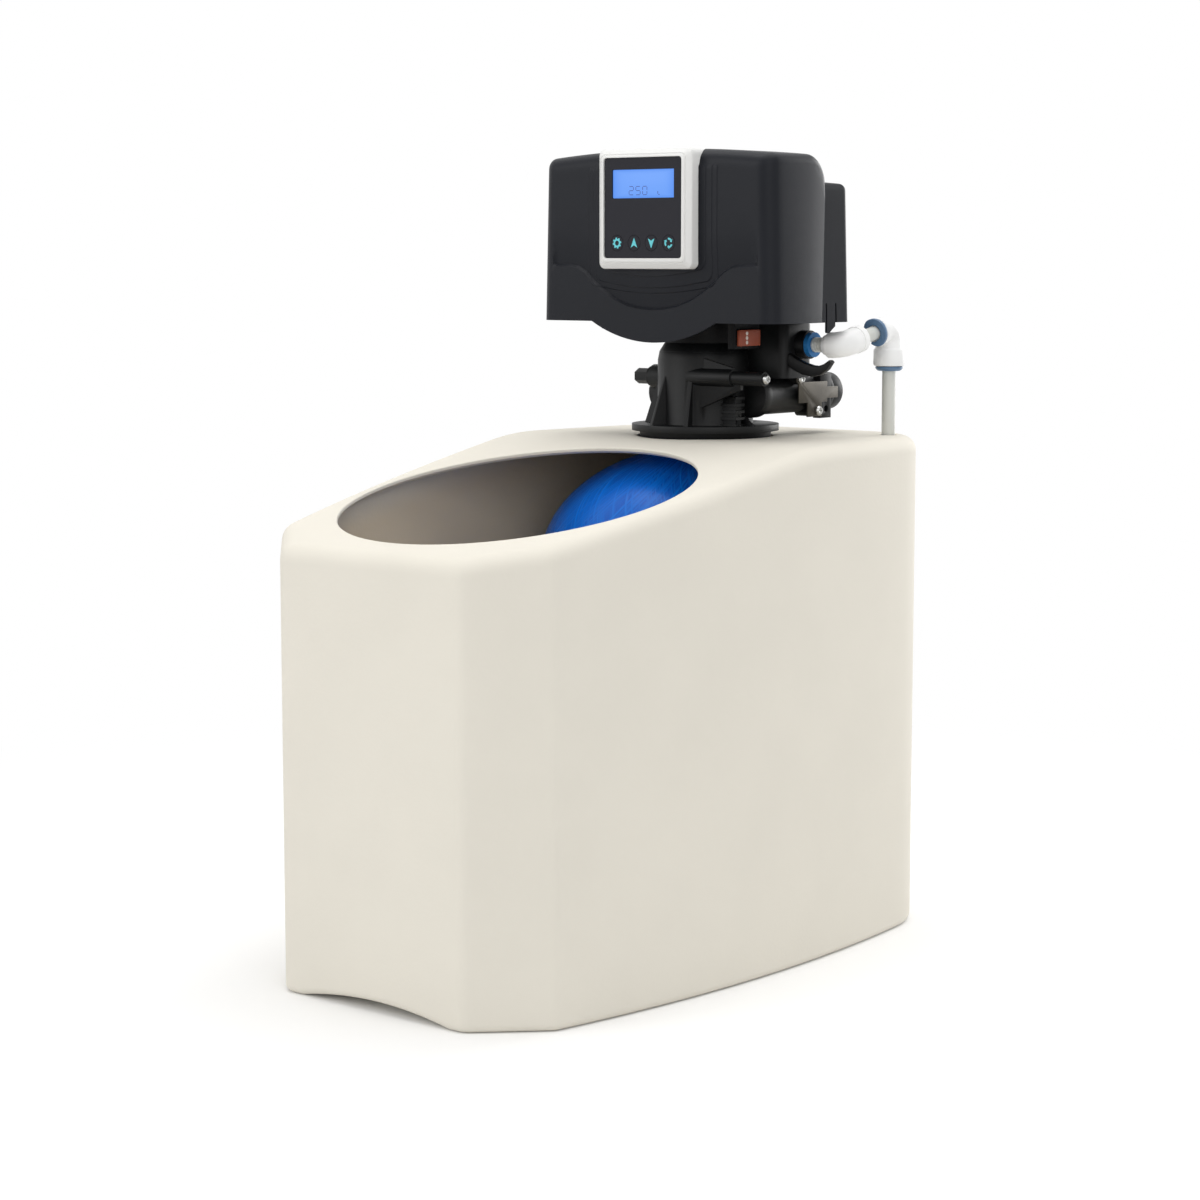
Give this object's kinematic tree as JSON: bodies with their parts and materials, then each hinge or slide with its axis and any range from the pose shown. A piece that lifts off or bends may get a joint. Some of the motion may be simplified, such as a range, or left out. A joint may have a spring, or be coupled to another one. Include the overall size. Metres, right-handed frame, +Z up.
{
  "type": "water softener",
  "caption": "Compact cabinet water softener: moulded salt cabinet with an open round mouth, wound resin tank, motor-driven control valve with display head, and push-fit brine line.",
  "frame": {"origin": "on the floor under the middle of the cabinet", "axes": "+Z up, +X to the right of someone facing the display, +Y to the rear; the display faces -Y"},
  "size_m": [0.276, 0.487, 0.542],
  "materials": {
    "cream_plastic": "fine matt moulding",
    "black_plastic": "satin glass-filled moulding",
    "charcoal_plastic": "fine matt moulding",
    "tank_blue": "glossy wound resin with fibre streaks",
    "liner_plastic": "plain moulding",
    "resin_beads": "packed resin beads",
    "white_plastic": "satin moulding",
    "seal_rubber": "smooth rubber",
    "piston_plastic": "smooth moulding",
    "steel": "bright plated",
    "clip_steel": "dull plated sheet",
    "turbine_plastic": "plain moulding",
    "tag_brown": "plain moulding",
    "motor_steel": "zinc-plated can",
    "gear_plastic": "plain moulding",
    "bezel_plastic": "fine satin moulding",
    "panel_gloss": "smooth glossy overlay",
    "lcd_blue": "backlit display",
    "board_green": "solder-masked board",
    "switch_grey": "plain moulding",
    "clip_blue": "smooth moulding",
    "tube_grey": "smooth drawn tube",
    "ball_orange": "smooth moulding"
  },
  "bodies": {
    "softener": {"cabinet_shell": "cream_plastic", "overflow_spout": "black_plastic", "overflow_nut": "black_plastic", "tank_foot": "black_plastic", "tank_winding": "tank_blue", "tank_liner": "liner_plastic", "resin_bed": "resin_beads", "riser_tube": "white_plastic", "bottom_strainer": "white_plastic", "top_strainer": "white_plastic", "neck_orings": "seal_rubber", "valve_body": "black_plastic", "stack_spacers": "liner_plastic", "stack_seals": "seal_rubber", "valve_cap": "black_plastic", "rod_seal": "seal_rubber", "injector_nozzle": "white_plastic", "injector_plug": "steel", "drain_connector": "black_plastic", "drain_washer": "seal_rubber", "inlet_tail": "black_plastic", "outlet_tail": "black_plastic", "tail_orings": "seal_rubber", "tail_clips": "clip_steel", "clip_screws": "steel", "turbine_cage": "white_plastic", "head_base": "black_plastic", "base_screws": "steel", "marker_tag": "tag_brown", "motor": "motor_steel", "motor_screws": "steel", "idler_pin": "steel", "front_cover": "charcoal_plastic", "rear_cover": "charcoal_plastic", "cover_screws": "steel", "display_bezel": "bezel_plastic", "display_panel": "panel_gloss", "lcd_module": "lcd_blue", "circuit_board": "board_green", "key_switches": "switch_grey", "power_socket": "black_plastic", "port_collet": "clip_blue", "stem_elbow": "white_plastic", "tube_elbow": "white_plastic", "locking_clips": "clip_blue", "brine_tube": "tube_grey", "check_body": "white_plastic", "check_cap": "black_plastic"},
    "piston_drive": {"piston": "piston_plastic", "piston_rod": "steel"},
    "main_gear": {"main_gear": "gear_plastic"},
    "idler_gear": {"idler_gear": "gear_plastic"},
    "motor_pinion": {"motor_pinion": "gear_plastic"},
    "turbine": {"turbine": "turbine_plastic"},
    "check_ball": {"check_ball": "ball_orange"},
    "key_settings": {"key_settings": "panel_gloss"},
    "key_up": {"key_up": "panel_gloss"},
    "key_down": {"key_down": "panel_gloss"},
    "key_regenerate": {"key_regenerate": "panel_gloss"}
  },
  "joints": [
    {"name": "main_gear_turn", "type": "hinge", "parent": "softener", "child": "main_gear", "pos_m": [0, 0.107, 0.433], "axis": [0, 0, 1], "range_deg": [-1, 721]},
    {"name": "idler_gear_turn", "type": "hinge", "parent": "softener", "child": "idler_gear", "pos_m": [-0.03195, 0.08293, 0.433], "axis": [0, 0, 1], "range_deg": [-1201, 1]},
    {"name": "motor_pinion_turn", "type": "hinge", "parent": "softener", "child": "motor_pinion", "pos_m": [-0.05445, 0.08293, 0.433], "axis": [0, 0, 1], "range_deg": [-1, 2401]},
    {"name": "piston_slide", "type": "slide", "parent": "softener", "child": "piston_drive", "axis": [0, 0, 1], "range_m": [0, 0.018]},
    {"name": "turbine_spin", "type": "hinge", "parent": "softener", "child": "turbine", "pos_m": [0.036, 0.177, 0.374], "axis": [0, 1, 0], "continuous": true},
    {"name": "check_ball_float", "type": "slide", "parent": "softener", "child": "check_ball", "axis": [0, 0, 1], "range_m": [0, 0.05]},
    {"name": "key_settings_press", "type": "slide", "parent": "softener", "child": "key_settings", "axis": [0, 1, 0], "range_m": [0, 0.0006], "stiffness_N_per_m": 800},
    {"name": "key_up_press", "type": "slide", "parent": "softener", "child": "key_up", "axis": [0, 1, 0], "range_m": [0, 0.0006], "stiffness_N_per_m": 800},
    {"name": "key_down_press", "type": "slide", "parent": "softener", "child": "key_down", "axis": [0, 1, 0], "range_m": [0, 0.0006], "stiffness_N_per_m": 800},
    {"name": "key_regenerate_press", "type": "slide", "parent": "softener", "child": "key_regenerate", "axis": [0, 1, 0], "range_m": [0, 0.0006], "stiffness_N_per_m": 800}
  ],
  "couplings": [
    {"joint": "main_gear_turn", "follows": "piston_slide", "rad_per_m": 698.13},
    {"joint": "idler_gear_turn", "follows": "piston_slide", "rad_per_m": -1163.6},
    {"joint": "motor_pinion_turn", "follows": "piston_slide", "rad_per_m": 2327.1}
  ]
}
